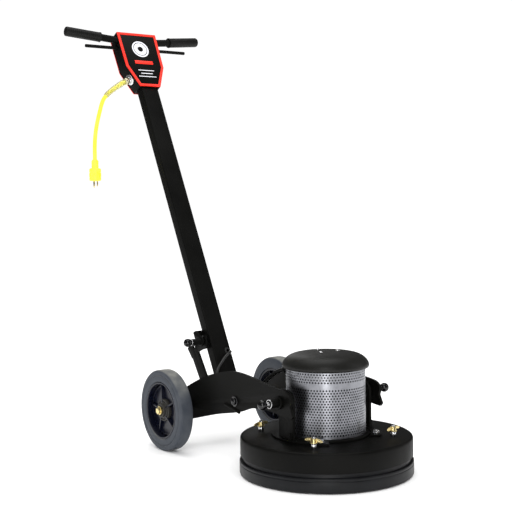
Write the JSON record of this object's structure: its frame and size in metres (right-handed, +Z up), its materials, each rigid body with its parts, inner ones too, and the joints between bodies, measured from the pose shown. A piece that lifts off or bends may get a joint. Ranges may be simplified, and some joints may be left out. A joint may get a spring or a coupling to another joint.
{
  "type": "high speed floor burnisher",
  "caption": "Walk-behind floor burnisher: round pad deck with a caged upright motor, wheeled yoke, leaning handle with squeeze bar, pull pins and a short power lead.",
  "frame": {"origin": "on the floor, under the middle of the machine's length and width, cord left out", "axes": "+X to the machine's right, +Y back towards the operator, +Z up; the pad deck is at -Y"},
  "size_m": [0.5126, 1.2878, 1.3137],
  "materials": {
    "deck_paint": "satin black with a warm cast",
    "skirt_rubber": "dull dark grey",
    "bright_steel": "bright plated",
    "stainless": "bright perforated stainless sheet",
    "black_paint": "satin black powder coat",
    "cast_alloy": "as cast",
    "plain_steel": "turned",
    "black_plastic": "moulded",
    "cap_plastic": "satin moulded",
    "wound_copper": "wound and varnished",
    "pad_fibre": "open non-woven fibre",
    "red_plastic": "moulded",
    "tyre_rubber": "non-marking grey",
    "hub_plastic": "moulded, very dark blue grey",
    "brass": "plated yellow",
    "knob_plastic": "polished",
    "grip_rubber": "ribbed, dull",
    "cover_paint": "satin black plate with red edging",
    "cable_rubber": "round jacket",
    "cord_yellow": "bright yellow jacket",
    "wire_mesh": "woven wire"
  },
  "bodies": {
    "base": {"deck_housing": "deck_paint", "skirt_ring": "skirt_rubber", "skirt_stud_1": "bright_steel", "skirt_stud_2": "bright_steel", "skirt_stud_3": "bright_steel", "skirt_stud_4": "bright_steel", "lower_end_bell": "black_paint", "motor_can": "black_paint", "upper_end_bell": "cast_alloy", "lower_bearing": "plain_steel", "upper_bearing": "plain_steel", "brush_ring": "black_plastic", "motor_screen": "stainless", "motor_cap": "cap_plastic", "cap_screw_1": "bright_steel", "cap_screw_2": "bright_steel", "cap_screw_3": "bright_steel", "pivot_bracket_left": "black_paint", "pivot_bracket_right": "black_paint", "bracket_bolt_left": "plain_steel", "bracket_bolt_right": "plain_steel", "motor_cable_front": "cable_rubber"},
    "pad_drive": {"motor_shaft": "plain_steel", "armature": "wound_copper", "cooling_fan": "black_plastic", "pad_driver": "black_plastic", "burnishing_pad": "pad_fibre", "pad_lock": "red_plastic"},
    "yoke": {"yoke_arm_left": "black_paint", "yoke_arm_right": "black_paint", "front_cross_tube": "black_paint", "axle": "brass", "lock_quadrant": "black_paint", "motor_cable_rear": "cable_rubber"},
    "wheel_left": {"tyre_left": "tyre_rubber", "hub_left": "hub_plastic"},
    "wheel_right": {"tyre_right": "tyre_rubber", "hub_right": "hub_plastic"},
    "handle": {"handle_tube": "black_paint", "hinge_barrel": "black_paint", "lock_bracket": "black_paint", "switch_housing": "black_paint", "housing_cover": "cover_paint", "handlebar": "black_paint", "grip_left": "grip_rubber", "grip_right": "grip_rubber", "power_switch": "black_plastic", "cord_gland": "bright_steel", "cord_grip": "wire_mesh", "power_cord": "cord_yellow", "cord_plug": "cord_yellow"},
    "squeeze_bar": {"switch_bar": "black_paint"},
    "lock_pin": {"lock_plunger": "knob_plastic"},
    "pull_pin_left": {"pivot_pin_left": "knob_plastic"},
    "pull_pin_right": {"pivot_pin_right": "knob_plastic"},
    "wing_nut_1": {"wing_nut_1": "brass"},
    "wing_nut_2": {"wing_nut_2": "brass"},
    "wing_nut_3": {"wing_nut_3": "brass"},
    "wing_nut_4": {"wing_nut_4": "brass"}
  },
  "joints": [
    {"name": "pad_spin", "type": "hinge", "parent": "base", "child": "pad_drive", "pos_m": [0, -0.40988, 0.04], "axis": [0, 0, 1], "continuous": true},
    {"name": "yoke_tilt", "type": "hinge", "parent": "base", "child": "yoke", "pos_m": [0, -0.40988, 0.2055], "axis": [1, 0, 0], "range_deg": [-5, 12], "deforming": ["motor_cable_front"]},
    {"name": "wheel_left_spin", "type": "hinge", "parent": "yoke", "child": "wheel_left", "pos_m": [-0.205, 0.08412, 0.119], "axis": [1, 0, 0], "continuous": true},
    {"name": "wheel_right_spin", "type": "hinge", "parent": "yoke", "child": "wheel_right", "pos_m": [0.205, 0.08412, 0.119], "axis": [1, 0, 0], "continuous": true},
    {"name": "handle_lean", "type": "hinge", "parent": "yoke", "child": "handle", "pos_m": [0, 0.08412, 0.119], "axis": [-1, 0, 0], "range_deg": [-26, 16.5], "deforming": ["motor_cable_rear"]},
    {"name": "squeeze", "type": "slide", "parent": "handle", "child": "squeeze_bar", "axis": [0, 0.4451, 0.8955], "range_m": [0, 0.006], "stiffness_N_per_m": 2000, "springref_m": -0.005},
    {"name": "lock_pull", "type": "slide", "parent": "handle", "child": "lock_pin", "axis": [-1, 0, 0], "range_m": [0, 0.008], "stiffness_N_per_m": 1500, "springref_m": -0.006},
    {"name": "pull_pin_left_slide", "type": "slide", "parent": "yoke", "child": "pull_pin_left", "axis": [-1, 0, 0], "range_m": [0, 0.012], "stiffness_N_per_m": 1500, "springref_m": -0.008},
    {"name": "pull_pin_right_slide", "type": "slide", "parent": "yoke", "child": "pull_pin_right", "axis": [1, 0, 0], "range_m": [0, 0.012], "stiffness_N_per_m": 1500, "springref_m": -0.008},
    {"name": "wing_nut_1_turn", "type": "hinge", "parent": "base", "child": "wing_nut_1", "pos_m": [0.13585, -0.29179, 0.122], "axis": [0, 0, 1], "continuous": true},
    {"name": "wing_nut_2_turn", "type": "hinge", "parent": "base", "child": "wing_nut_2", "pos_m": [-0.11809, -0.27403, 0.122], "axis": [0, 0, 1], "continuous": true},
    {"name": "wing_nut_3_turn", "type": "hinge", "parent": "base", "child": "wing_nut_3", "pos_m": [-0.13585, -0.52797, 0.122], "axis": [0, 0, 1], "continuous": true},
    {"name": "wing_nut_4_turn", "type": "hinge", "parent": "base", "child": "wing_nut_4", "pos_m": [0.11809, -0.54573, 0.122], "axis": [0, 0, 1], "continuous": true}
  ]
}
